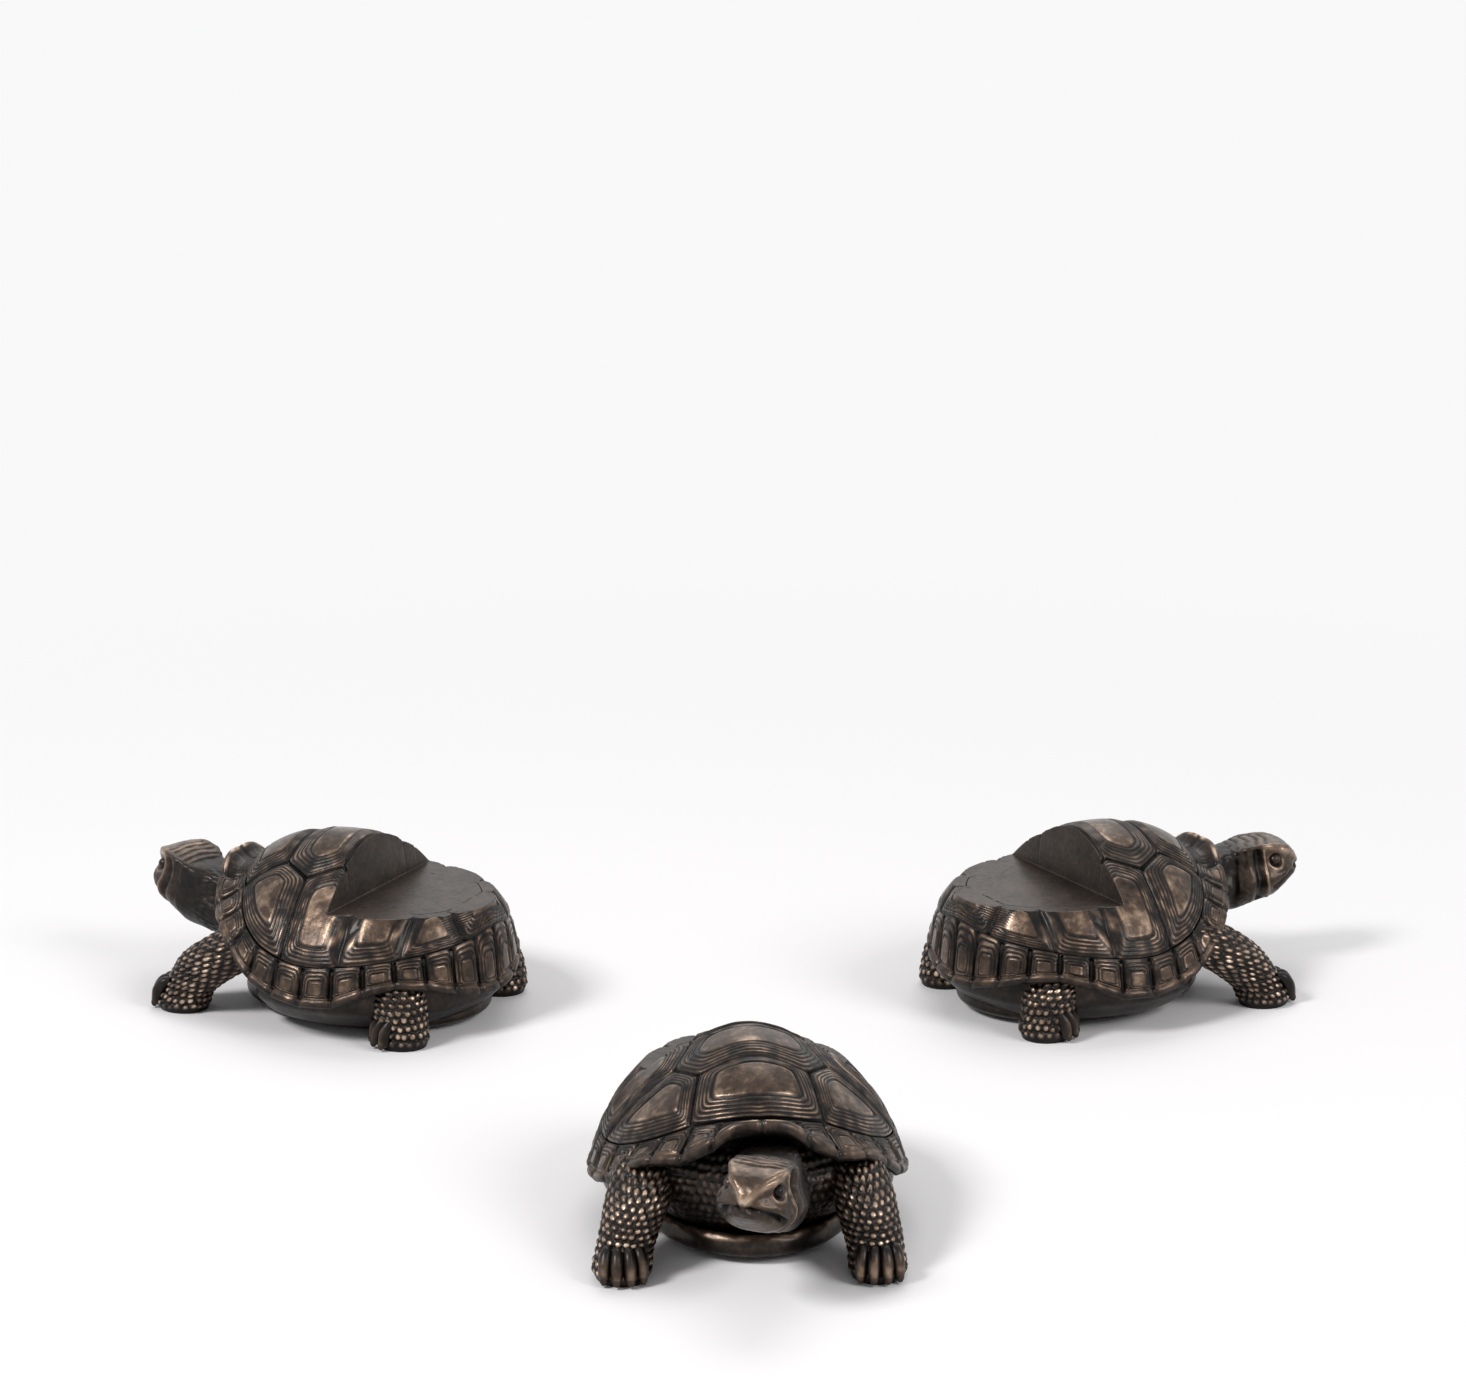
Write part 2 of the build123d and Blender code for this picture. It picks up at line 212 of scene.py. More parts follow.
def curve_weights(stations, samples, closed):
    """Weights of a Catmull-Rom curve through evenly counted stations: each sample blends its four nearest."""
    span = stations if closed else stations - 1
    place = np.linspace(0, span, samples, endpoint=not closed)
    first = np.minimum(np.floor(place).astype(int), span - 1)
    t = place - first
    blends = (
        (-t + 2 * t ** 2 - t ** 3) / 2, (2 - 5 * t ** 2 + 3 * t ** 3) / 2,
        (t + 4 * t ** 2 - 3 * t ** 3) / 2, (-t ** 2 + t ** 3) / 2,
    )
    weights = np.zeros((samples, stations))
    for offset, blend in zip((-1, 0, 1, 2), blends):
        index = (first + offset) % stations if closed else np.clip(first + offset, 0, stations - 1)
        np.add.at(weights, (np.arange(samples), index), blend)
    return weights


def skin(rings, rows, columns):
    """Smooth grid over rings of corners: Catmull-Rom curves along the run and round each ring."""
    rings = np.asarray(rings, float)
    run = np.tensordot(curve_weights(len(rings), rows, False), rings, 1)
    around = curve_weights(rings.shape[1], columns, True)
    return np.einsum("cn,rnk->rck", around, run)


def circle(count):
    """Evenly spaced angles once round."""
    return np.linspace(0, 2 * np.pi, count, endpoint=False)


def level_ring(x, y, z, half_length, half_width, corners):
    """Corners of a level oval."""
    angle = circle(corners)
    ahead, aside = x + half_length * np.cos(angle), y + half_width * np.sin(angle)
    return np.stack([ahead, aside, np.full(corners, z)], -1)


def slope(grid, axis, closed):
    """Difference between a grid's neighbours along an axis."""
    if closed:
        return np.roll(grid, -1, axis) - np.roll(grid, 1, axis)
    return np.gradient(grid, axis=axis)


def run_length(grid):
    """Length along a grid's middle line up to each row."""
    return np.cumsum(np.linalg.norm(slope(grid.mean(1), 0, False), axis=-1))[:, None]


def outward(grid, loop=False):
    """Unit normals that point out of a grid whose columns close: the cross product of its two directions."""
    cross = np.cross(slope(grid, 0, loop), slope(grid, 1, True))
    side = np.sign(np.sum(cross * (grid - grid.mean((0, 1)))))
    return side * cross / (np.linalg.norm(cross, axis=-1, keepdims=True) + 1e-9)


def soften(field, passes, loop=False):
    """A field blurred over a grid: each pass blends every point with its four neighbours."""
    for _ in range(passes):
        rows = [np.roll(field, 1, 0), np.roll(field, -1, 0)]
        if not loop:
            rows[0][0] = field[0]
            rows[1][-1] = field[-1]
        field = (field * 2 + rows[0] + rows[1] + np.roll(field, 1, 1) + np.roll(field, -1, 1)) / 6
    return field


def rubbed(relief, height, passes=6, loop=False):
    """Wear of a relief: 0 in its hollows and 1 on what stands over the blurred surface by the height."""
    return np.clip(0.5 + (relief - soften(relief, passes, loop)) / (2 * height), 0, 1)


def form(grid, wear=0.4, polish=0.0, loop=False):
    """A closed form: its grid, and on each point how far it is rubbed, with painted highlight and shade on a
    few parts, and how smoothly it is polished.
    """
    shape = grid.shape[:2]
    return grid, np.broadcast_to(wear, shape), np.broadcast_to(polish, shape), loop


def form_faces(rows, columns, loop):
    """Quads of a grid whose columns close, and the fans to its two tips where its rows don't close."""
    index = np.arange(rows * columns).reshape(rows, columns)
    low, high = (index, np.roll(index, -1, 0)) if loop else (index[:-1], index[1:])
    quads = np.stack([low, np.roll(low, -1, 1), np.roll(high, -1, 1), high], -1).reshape(-1, 4)
    if loop:
        return quads, np.zeros((0, 3), int)
    fans = []
    for tip, ring in ((rows * columns, index[0][::-1]), (rows * columns + 1, index[-1])):
        fans.append(np.stack([np.full(columns, tip), ring, np.roll(ring, -1)], -1))
    return quads, np.concatenate(fans)


def joined(forms):
    """Points, faces and wear of several closed forms as one mesh, each form's faces turned outwards."""
    points, quads, fans, wears, polishes, count = [], [], [], [], [], 0
    for grid, wear, polish, loop in forms:
        rows, columns = grid.shape[:2]
        body = grid.reshape(-1, 3)
        tips = np.zeros((0, 3)) if loop else np.stack([grid[0].mean(0), grid[-1].mean(0)])
        body = np.concatenate([body, tips])
        ends = [] if loop else [0, -1]
        wears.append(np.concatenate([wear.ravel(), [wear[end].mean() for end in ends]]))
        polishes.append(np.concatenate([polish.ravel(), [polish[end].mean() for end in ends]]))
        four, three = form_faces(rows, columns, loop)
        a, b, c = (body[four[:, corner]] - body.mean(0) for corner in (0, 1, 2))
        if np.sum(a * np.cross(b, c)) < 0:
            four, three = four[:, ::-1], three[:, ::-1]
        points.append(body)
        quads.append(four + count)
        fans.append(three + count)
        count += len(body)
    faces = np.concatenate(quads).tolist() + np.concatenate(fans).tolist()
    return np.concatenate(points), faces, np.concatenate(wears), np.concatenate(polishes)


def keep_field(mesh, name, values):
    """Stores one number per point on a mesh, for its material."""
    mesh.attributes.new(name, "FLOAT", "POINT").data.foreach_set("value", np.asarray(values, np.float32))


def set_down(points, origin, heading):
    """Points turned to a heading about the upright and moved to an origin."""
    forward = np.array((np.cos(heading), np.sin(heading), 0))
    sideways = np.array((-np.sin(heading), np.cos(heading), 0))
    upward = np.array((0, 0, 1))
    return origin + points[..., :1] * forward + points[..., 1:2] * sideways + points[..., 2:] * upward


def put(name, data):
    """A new object in the scene with its data."""
    thing = bpy.data.objects.new(name, data)
    bpy.context.scene.collection.objects.link(thing)
    return thing


def make_piece(name, mesh_data, place, material):
    """A mesh object at the origin, its mesh turned to the foot's heading and moved to its place."""
    points, faces, wear, polish = mesh_data
    mesh = bpy.data.meshes.new(name)
    mesh.from_pydata((set_down(points, *place) * millimetre).tolist(), [], faces)
    keep_field(mesh, "wear", wear)
    keep_field(mesh, "polish", polish)
    mesh.shade_smooth()
    mesh.materials.append(material)
    return put(name, mesh)


# ---- Shell

def swell(share, power):
    """Height share of a rounded form at a share of its reach: 1 in the middle and 0 at the end."""
    return np.maximum(1 - np.abs(share) ** power, 0) ** (1 / power)


def ridge_height(x):
    """Height of the shell's ridge: a superellipse along its length, over the waist."""
    rise = swell((x - shell_shift) / shell_half_length, length_power)
    return waist_height + (crown_height - waist_height) * rise


def dome_half_width(x):
    """Half width of the shell at its waist: a superellipse in plan."""
    return shell_half_width * swell((x - shell_shift) / shell_half_length, width_power) + 1e-6


def dome_height(x, y):
    """Height of the rounded shell over a place in plan, its ridge softened over a millimetre or two."""
    soft = np.sqrt(y ** 2 + 1.2 ** 2) - 1.2
    return waist_height + (ridge_height(x) - waist_height) * swell(soft / dome_half_width(x), section_power)


def dome_normal(x, y):
    """Unit normal of the rounded shell, from its slopes over a short step."""
    step = 0.05
    slopes = [
        (dome_height(x + step, y) - dome_height(x - step, y)) / (2 * step),
        (dome_height(x, y + step) - dome_height(x, y - step)) / (2 * step),
    ]
    steep = 3.5
    tilts = [np.clip(-one_slope, -steep, steep) for one_slope in slopes]
    normal = np.stack([tilts[0], tilts[1], np.ones_like(x)], -1)
    return normal / np.linalg.norm(normal, axis=-1, keepdims=True)


def unrolled(x, y):
    """Lengths over the shell: along its ridge from the crown, and from the ridge down its side."""
    x, y = np.asarray(x, float), np.asarray(y, float)
    ridge = ridge_height(x)
    along = np.sign(x - shell_shift) * np.hypot(x - shell_shift, crown_height - ridge)
    across = np.sign(y) * np.hypot(y, ridge - dome_height(x, y))
    return np.stack([along, across], -1)


outer_corners = ("nose", "neck", "arm", "rib", "hip", "stifle", "tail")


def scute_corners():
    """Unrolled corners and focus of every scute, and which of its sides run along the rim."""
    def place(shares, side):
        return unrolled(shell_shift + shell_half_length * shares[0], side * shell_half_width * shares[1])
    outlines = []
    for names, focus in middle_scutes:
        stops = [(name, 1) for name in names] + [(name, -1) for name in reversed(names)]
        outlines.append((stops, focus, 1))
    for names, focus in side_scutes:
        for side in (1, -1):
            outlines.append(([(name, side) for name in names], focus, side))
    made = []
    for stops, focus, side in outlines:
        corners = np.array([place(corner_shares[name], sign) for name, sign in stops])
        outer = [name in outer_corners for name, _ in stops]
        along_rim = np.array([first and second for first, second in zip(outer, outer[1:] + outer[:1])])
        middle = np.array((shell_shift + shell_half_length * focus[0], side * shell_half_width * focus[1]))
        made.append((corners, place(focus, side), along_rim, rim_distance(*middle)))
    return made


def rim_distance(x, y):
    """Distance of a place on the shell from the rim's root at the same bearing, negative beyond it."""
    ahead, aside = (x - shell_shift) / rim_half_length, y / rim_half_width
    bearing = np.degrees(np.arctan2(aside, ahead))
    root = rim_value(bearing, rim_inner_shares)
    root_x, root_y = rim_place(bearing, root)
    rise = dome_height(x, y) - dome_height(root_x, root_y)
    return np.sqrt((x - root_x) ** 2 + (y - root_y) ** 2 + rise ** 2) * np.sign(root - np.hypot(ahead, aside))


growth_ridges = 5
growth_zone = 4.3
growth_zone_share = 0.47


def scute_field(x, y):
    """Growth share and seam distance of each place on the shell, and its scute's number.

    The scute is the one whose outline, shrunk about its focus, reaches the place last. The share runs from 0
    at the seam to 1 where the smooth middle starts, over a zone that is narrower on sides close to the focus,
    and the least of its sides is taken softly, so that its lines turn the corners round."""
    places = unrolled(x, y)
    shape = x.shape
    best = np.full(shape, np.inf)
    share, margin, number = np.zeros(shape), np.zeros(shape), np.zeros(shape, int)
    to_rim = rim_distance(x, y)
    for count, (corners, focus, along_rim, focus_to_rim) in enumerate(scute_corners()):
        edges = np.roll(corners, -1, 0) - corners
        across = np.stack([edges[:, 1], -edges[:, 0]], -1) / np.linalg.norm(edges, axis=1)[:, None]
        reach = np.sum((corners - focus) * across, 1)
        across, reach = across * np.sign(reach)[:, None], np.abs(reach)
        gap = np.where(along_rim, to_rim[..., None], reach - (places - focus) @ across.T)
        reach = np.where(along_rim, focus_to_rim, reach)
        ratio = (1 - gap / reach).max(-1)
        zone = np.minimum(growth_zone, growth_zone_share * reach)
        sharpness = 7.0
        soft = -np.log(np.exp(-sharpness * np.clip(gap / zone, -1, 4)).sum(-1)) / sharpness
        nearer = ratio < best
        best = np.where(nearer, ratio, best)
        share = np.where(nearer, soft, share)
        margin = np.where(nearer, gap.min(-1), margin)
        number = np.where(nearer, count, number)
    return share, margin, number


def growth_relief(share, margin, ridges, points, seed):
    """Relief, wear and polish of one plate.

    Rounded growth ridges climb from the seam to a smooth middle that stands a little proud. Ridge height
    follows the square root of a sine, so its grooves are narrow; slow noise bends the lines and varies their
    depth."""
    wander = share + 0.12 * (mottle(points, 4.5, seed) - 0.5) * fade(share, 0.1, 0.5)
    crest = np.sqrt(np.abs(np.sin(np.pi * ridges * np.clip(wander, 0, 1))))
    middle = fade(wander, 1.0, 1.2)
    zone = 1 - fade(wander, 0.96, 1.02)
    depth = 0.75 + 0.5 * mottle(points, 2.2, seed + 3)
    relief = 0.42 * fade(wander, 0, 1) + 0.30 * crest * zone * depth + 0.3 * middle
    relief -= 0.8 * bell(np.maximum(margin, 0), 0.42)
    groove = bell(np.maximum(margin, 0), 0.5)
    wear = zone * (0.01 + 0.62 * crest ** 4 * np.clip(1.5 * mottle(points, 1.8, seed + 5) - 0.12, 0, 1))
    wear = (wear + middle * (0.26 + 0.24 * mottle(points, 3.2, seed + 7))) * (1 - groove)
    edge = bell(wander - 1.16, 0.09) * np.clip(1.6 * mottle(points, 2.6, seed + 9) - 0.5, 0, 1)
    return relief, np.clip(wear + 0.3 * edge, 0, 1), middle


shell_front_rows = 176
shell_rear_rows = 84
shell_top_columns = 224
shell_flank_columns = 58
shell_under_columns = 18
shell_edge_share = 0.02
under_share = 0.84
under_rise = 8.0
under_drop = 0.6
costal_scutes = 6


def rim_value(angle, shares):
    """A seam's share at any angle round the rim, read off straight between the seams."""
    step = (180 - collar_angle) / rim_blocks
    seams = np.concatenate([[0], collar_angle + step * np.arange(rim_blocks + 1)])
    return np.interp(np.abs(angle), seams, shares)


def rim_place(angle, share):
    """A place in plan at a share of the way from the shell's middle to the rim's edge."""
    turn = np.radians(angle)
    return shell_shift + rim_half_length * share * np.cos(turn), rim_half_width * share * np.sin(turn)


def shell_rows():
    """Places of the shell's rows along X, from its front end to the wall and from there to its rear end."""
    ends = [
        rim_place(angle, rim_value(angle, rim_inner_shares) + shell_edge_share)[0] for angle in (0.0, 180.0)]
    front = np.sin(np.linspace(np.pi / 2, 0, shell_front_rows + 1)[1:])
    rear = np.sin(np.linspace(0, np.pi / 2, shell_rear_rows + 1)[:-1])
    return wall_shift + (ends[0] - wall_shift) * front, wall_shift + (ends[1] - wall_shift) * rear


def shell_columns(x, cut):
    """Places of a row's columns along Y: flank, top and flank, out to the line where the rim begins.

    The top columns end where the shell passes a level: the step's floor behind the wall, and a share of the
    ridge's height ahead of it that meets the floor's level at the wall."""
    angles = np.linspace(0, 180, 721)
    edge_x, edge_y = rim_place(angles, rim_value(angles, rim_inner_shares) + shell_edge_share)
    half_edge = np.interp(-x, -edge_x, edge_y)
    rise = ridge_height(x) - waist_height
    level = (step_height - waist_height) / (crown_height - waist_height)
    ratio = np.clip((step_height - waist_height) / rise, 0, 0.985) if cut else np.full(x.shape, level)
    corner = dome_half_width(x) * swell(ratio, section_power)
    corner = np.minimum(corner, 0.8 * half_edge)[:, None]
    top = corner * np.linspace(1, -1, shell_top_columns)
    flank = np.linspace(1, 0, shell_flank_columns, endpoint=False) ** 0.9
    left = corner + (half_edge[:, None] - corner) * flank
    return np.concatenate([left, top, -left[:, ::-1]], 1)


def wall_place(z):
    """Place of the leaning wall along X at a height over the step."""
    return wall_shift + np.maximum(z - step_height, 0) * np.tan(np.radians(wall_lean_angle))


def shell_form():
    """The shell: scutes on its rounded top, the step cut into its back, and a hollowed underside.

    Each row is a closed loop: over the top from one rim line to the other, and back at a share of the height.
    The rows ahead of the wall slant to meet it. The relief moves a point along the rounded shell's normal,
    and what would stand over the step or behind the wall is pressed flat."""
    halves = []
    for x, cut in zip(shell_rows(), (False, True)):
        y = shell_columns(x, cut)
        x = np.repeat(x[:, None], y.shape[1], 1)
        if not cut:
            slant = wall_place(dome_height(x, y)) - wall_shift
            x = x + slant * (1 - (x - wall_shift) / (x[0] - wall_shift))
        z = dome_height(x, y)
        points = np.stack([x, y, z], -1)
        share, margin, number = scute_field(x, y)
        relief, wear, polish = growth_relief(share, margin, growth_ridges, points, 11)
        # The side scutes are lighter than the middle row: a painted reflection of light off the shell's
        # sides, on top of their rubbed wear.
        costal = (number >= len(middle_scutes)) & (number < len(middle_scutes) + costal_scutes)
        wear = wear * np.where(costal, 1.15, 1.0)
        points = points + relief[..., None] * dome_normal(x, y)
        if cut:
            flat = points[..., 2] > step_height
            points[..., 2] = np.minimum(points[..., 2], step_height)
            wear, polish = np.where(flat, 0.24, wear), np.where(flat, 0.3, polish)
        else:
            points[..., 0] = np.maximum(points[..., 0], wall_place(points[..., 2]))
        halves.append((points, wear, polish))
    edge = halves[0][0][-1]
    wall, worn = [], []
    for drop, height in ((0.12, None), (0.3, None), (None, 0.25), (None, 0.0)):
        row = edge.copy()
        tall = edge[:, 2] > step_height
        if height is None:
            lowered = np.maximum(edge[:, 2] - drop, step_height)
        else:
            lowered = np.full(len(row), step_height + height)
        row[:, 2] = np.where(tall, np.minimum(lowered, edge[:, 2]), edge[:, 2])
        row[:, 0] = np.where(tall, wall_place(row[:, 2]), wall_shift) - 0.04 * (len(wall) + 1)
        wall.append(row)
        worn.append(np.where(tall, 0.2, halves[0][1][-1]))
    halves[1][0][:, :, 0] -= 0.25
    top = np.concatenate([halves[0][0], np.array(wall), halves[1][0]])
    wear = np.concatenate([halves[0][1], np.array(worn), halves[1][1]])
    polish = np.concatenate([halves[0][2], np.zeros((len(wall), wear.shape[1])), halves[1][2]])
    pick = np.linspace(top.shape[1] - 1, 0, shell_under_columns).astype(int)
    under = top[:, pick] * np.array((0.985, 0.97, 1.0))
    capped = np.minimum(under[..., 2], step_height + under_rise)
    under[..., 2] = waist_height + (capped - waist_height) * under_share - under_drop
    grid = np.concatenate([top, under], 1)
    hidden = np.zeros(under.shape[:2])
    return form(grid, np.concatenate([wear, hidden], 1), np.concatenate([polish, hidden], 1))


# ---- Rim

rim_rows = 600
rim_top_columns = 52
rim_edge_columns = 9
rim_under_columns = 8
rim_back_columns = 3


def rim_form():
    """The band of marginal blocks round the shell.

    Each row is an upright section: top from the root to the edge with a shallow dip, the round edge, the
    underside and the buried back. A block's place across runs from -1 to 1 between its seams; its growth
    lines are rounded squares about a focus near the edge, and at a seam the top sinks and the edge draws in.
    The two collar blocks rise in a low arch and dip at the notch between them."""
    angle = np.linspace(-180, 180, rim_rows, endpoint=False) + 180 / rim_rows
    turn = np.abs(angle)
    step = (180 - collar_angle) / rim_blocks
    share = np.where(turn < collar_angle, turn / collar_angle, ((turn - collar_angle) / step) % 1)
    across = 2 * share - 1
    half_block = np.radians(np.where(turn < collar_angle, collar_angle, step)) * rim_half_width / 2
    seam = bell((1 - np.abs(across)) * half_block, 0.55)
    scallop = 0.25 * np.abs(across) ** 3 + 0.35 * seam
    inner = rim_value(angle, rim_inner_shares)
    root = np.stack(rim_place(angle, inner) + (np.zeros_like(angle),), -1)
    root[:, 2] = dome_height(root[:, 0], root[:, 1]) + 0.25
    edge = np.stack(rim_place(angle, 1 - (scallop + 1.1) / rim_half_length) + (np.zeros_like(angle),), -1)
    edge[:, 2] = crown_height * rim_value(angle, rim_height_shares) - 0.3 * seam
    out = np.stack([np.cos(np.radians(angle)), np.sin(np.radians(angle)), np.zeros_like(angle)], -1)
    up = np.array((0, 0, 1.0))
    half = rim_thickness / 2
    lip = 1 + 0.45 * (1 - fade(turn, 16, 34))
    edge[:, 2] += np.where(turn < collar_angle, 1.0 * (1 - across ** 2), 0) - 0.9 * (1 - fade(turn, 1, 12))
    b = np.linspace(0, 1, rim_top_columns)
    start, end = root[:, None], (edge + up * half * lip[:, None])[:, None]
    dip = rim_dip + 0.6 * (collar_dip - rim_dip) * (1 - fade(turn, collar_angle, collar_angle + step))
    sag = dip[:, None] * 4 * b * (1 - b)
    top = start + (end - start) * b[:, None] - sag[..., None] * up
    swing = np.linspace(np.pi / 2, -np.pi / 2, rim_edge_columns + 2)[1:-1]
    round_edge = edge[:, None] + half * (
        np.cos(swing)[:, None] * out[:, None] + np.sin(swing)[:, None] * up * lip[:, None, None])
    foot = np.stack(rim_place(angle, inner - 0.04) + (root[:, 2] - rim_root,), -1)[:, None]
    back = np.linspace(0, 1, rim_under_columns)[:, None]
    bottom = (edge - up * half)[:, None] * (1 - back) + foot * back
    climb = np.linspace(0, 1, rim_back_columns + 2)[1:-1, None]
    buried = foot * (1 - climb) + start * climb
    grid = np.concatenate([top, round_edge, bottom, buried], 1)

    a = np.abs(across)[:, None]
    focus = 0.66
    depth = np.where(b < focus, (focus - b) / focus, (b - focus) / 0.52)
    square = (a ** 5 + depth ** 5) ** 0.2
    margin = np.minimum((1 - np.abs(across)) * half_block, 9)[:, None] + 0 * b
    growth = (1 - square) / 0.52
    relief, wear, polish = growth_relief(growth, margin, 3, top, 31)
    calm = fade(turn, 12, 24)[:, None]
    relief = relief * (0.35 + 0.65 * calm) * fade(b, 0, 0.1)
    wear = wear * (0.45 + 0.55 * calm)
    lip_wear = fade(b, 0.84, 0.97) * (0.45 + 0.35 * (1 - calm)) * (1 - seam[:, None])
    lip_wear = lip_wear + 0.5 * bell(b - 1, 0.1) * bell(turn - 2.6, 1.3)[:, None]
    wear = np.maximum(wear, lip_wear * (0.3 + 1.1 * mottle(top, 1.6, 37)))
    patchy = 0.3 + 1.0 * mottle(round_edge, 1.5, 39)
    round_wear = 0.5 * (1 - np.abs(swing - 0.9) / 2.4)
    side_wear = np.stack([round_wear] * rim_rows) * (1 - 0.7 * seam[:, None]) * patchy
    rest = np.full((rim_rows, rim_under_columns + rim_back_columns), 0.06)
    wear = np.concatenate([wear, np.clip(side_wear, 0, 1), rest], 1)
    fall = 0.25 * np.stack([np.cos(swing)] * rim_rows) * (mottle(round_edge, 1.2, 41) - 0.6)
    moved = np.concatenate([relief * (1 - 0.5 * fade(b, 0.9, 1)), fall, 0 * rest], 1)
    grid = grid + moved[..., None] * outward(grid, True)
    return form(grid, wear, np.concatenate([polish * 0.6, 0 * fall, 0 * rest], 1), True)


# ---- Bridge, belly plate and the skin round the neck

bridge_top = 11.0


def bridge_form():
    """The smooth body between rim and belly, drawn back at the front where the head and legs come out."""
    angle = np.linspace(0, 360, 40, endpoint=False)
    turn = np.minimum(angle, 360 - angle)
    share = rim_value(turn, rim_inner_shares)
    share = 0.58 + (share - 0.58) * fade(turn, 44, 66)
    rings = []
    for height, narrow in ((2.6, 0.80), (3.0, 0.86), (5.2, 0.94), (waist_height, 1.0), (bridge_top, 1.0)):
        x, y = rim_place(angle, share * narrow)
        rings.append(np.stack([x, y, np.full(len(x), height)], -1))
    x, y = rim_place(angle, share * 0.97)
    rings.append(np.stack([x, y, bridge_top + (dome_height(x, y) - bridge_top) * 0.8], -1))
    grid = skin(rings, 40, 240)
    return form(grid, 0.05 + 0.1 * mottle(grid, 3.0, 51), 0.4)


def belly_form():
    """The belly plate: an oval slab with a round lower edge and a hollow rim round its upper face."""
    stations = (
        (0.0, 0.86), (0.04, 0.94), (0.30, 1.0), (0.72, 1.0), (0.95, 0.975), (1.0, 0.94), (0.86, 0.86),
        (0.84, 0.7),
    )
    corners = 36
    rings = [
        level_ring(shell_shift, 0, belly_height + belly_thickness * up, belly_half_length * share,
                   belly_half_width * share, corners)
        for up, share in stations
    ]
    grid = skin(rings, 56, 200)
    lip = bell(grid[..., 2] - belly_height - belly_thickness, 0.6)
    shelf = fade(grid[..., 2], 4.4, 5.2) * fade(grid[..., 0], 12.0, 18.0)
    grid[..., 2] += 0.5 * shelf * (mottle(grid, 1.5, 55) - 0.5)
    wear = 0.1 + 0.1 * mottle(grid, 4.0, 57) + 0.4 * lip * mottle(grid, 2.2, 53)
    return form(grid, wear + 0.35 * shelf * mottle(grid, 1.2, 59), 0.45)


def neck_skin_form():
    """Studded skin that fills the opening round the neck: part of a ball drawn out sideways, with studs."""
    rows, columns = 112, 208
    rise = np.linspace(-np.pi / 2, np.pi / 2, rows + 2)[1:-1, None]
    turn = circle(columns)
    turn = turn - 0.62 * np.sin(turn)
    half_length, half_width, half_height = 20.0, 23.5, 12.5
    grid = np.stack(np.broadcast_arrays(
        8.0 + half_length * np.cos(rise) * np.cos(turn), half_width * np.cos(rise) * np.sin(turn),
        14.5 + half_height * np.sin(rise)), -1)
    gap = 1.7
    stud = studs(rise * half_height / gap, turn * half_width / gap, gap, gap, 61)
    grid = grid + (0.5 * stud)[..., None] * outward(grid)
    return form(grid, 0.04 + 0.55 * stud ** 3 * mottle(grid, 2.0, 63))


# ---- Legs

def leg_form(paw, shoulder, height, half_length, half_width, stations, rows, columns, around, seed):
    """A leg: a smooth skin over level ovals from the sole to the shoulder, with studs in staggered rows.

    The studs are counted by the length along the leg and by the turn round it, and stand out along the
    normal. They fade out over the smooth sole."""
    rings = []
    for up, along, length_share, width_share in stations:
        x = paw[0] + (shoulder[0] - paw[0]) * along
        y = paw[1] + (shoulder[1] - paw[1]) * along
        half = (half_length * length_share, half_width * width_share)
        rings.append(level_ring(x, y, height * up, *half, leg_corners))
    grid = skin(rings, rows, columns)
    gap = 1.75
    girth = np.linalg.norm(slope(grid, 1, True) / 2, axis=-1).sum(1)[:, None]
    turn = np.linspace(0, around, columns, endpoint=False)
    stud = studs(run_length(grid) / gap, turn, gap, girth / around, seed, around)
    keep = fade(grid[..., 2], 0.5, 2.2)
    normal = outward(grid)
    fold = mottle(grid, 6.0, seed + 9) - 0.5
    grid = grid + ((0.62 * stud - 0.15) * keep + 0.5 * fold * keep)[..., None] * normal
    grid[..., 2] = np.maximum(grid[..., 2], 0)
    wear = 0.02 + (0.1 + 0.85 * fade(stud, 0.62, 0.98)) * keep * (0.35 + 0.75 * mottle(grid, 1.9, seed + 5))
    return form(grid, np.clip(wear, 0, 1))


def tube(path, radii, rows, columns, flatten=1.0):
    """A round tube along a path in an upright plane: rings square to the path, closed at both ends."""
    path, radii = np.asarray(path, float), np.asarray(radii, float)
    weights = curve_weights(len(path), rows, False)
    line, size = weights @ path, weights @ radii
    heading = np.gradient(line, axis=0)
    heading /= np.linalg.norm(heading, axis=1)[:, None]
    side = np.array((0, 1.0, 0))
    up = np.cross(heading, side)
    turn = circle(columns)[:, None]
    return line[:, None] + size[:, None, None] * (
        flatten * np.cos(turn) * side + np.sin(turn) * up[:, None])


toe_path = ((-2.6, 0, 6.4), (-1.1, 0, 5.9), (0.15, 0, 4.3), (0.55, 0, 2.6), (0.75, 0, 1.5), (0.9, 0, 1.05))
toe_radii = (0.8, 1.3, 1.45, 1.35, 1.15, 0.7)
claw_path = ((0.3, 0, 2.2), (0.9, 0, 1.9), (1.3, 0, 1.2), (1.4, 0, 0.5))
claw_radii = (0.6, 0.85, 0.8, 0.4)
toe_rows = 26
toe_columns = 22


